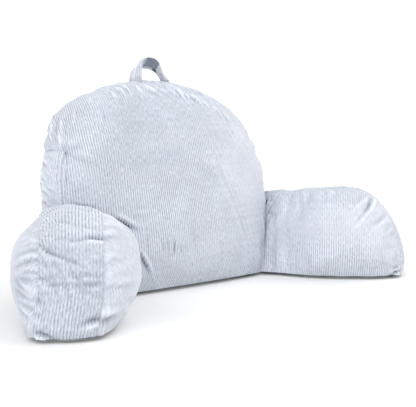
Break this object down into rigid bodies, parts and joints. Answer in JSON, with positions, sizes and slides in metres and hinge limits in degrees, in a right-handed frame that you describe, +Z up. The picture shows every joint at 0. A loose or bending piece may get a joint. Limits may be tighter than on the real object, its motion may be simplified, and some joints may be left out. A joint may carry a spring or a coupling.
{
  "type": "reading pillow with arms",
  "caption": "Boxed backrest cushion with a domed top, filled D-shaped arms splayed forward at either side and a soft strap handle on top, in ribbed plush.",
  "frame": {"origin": "centre of the whole object's box in plan, on the flat surface that it rests on", "axes": "+X from the left arm to the right arm as seen from the front, -Y out of the front of the backrest, +Z up"},
  "size_m": [1.0886, 0.487, 0.5294],
  "materials": {
    "backrest_plush": "pale blue-grey plush with fine ribs, matt",
    "arm_left_plush": "pale blue-grey plush with fine ribs, matt",
    "arm_right_plush": "pale blue-grey plush with fine ribs, matt",
    "handle_plush": "pale blue-grey plush with fine ribs, matt"
  },
  "bodies": {
    "root": {"backrest": "backrest_plush", "arm_left": "arm_left_plush", "arm_right": "arm_right_plush", "handle": "handle_plush"}
  },
  "joints": []
}
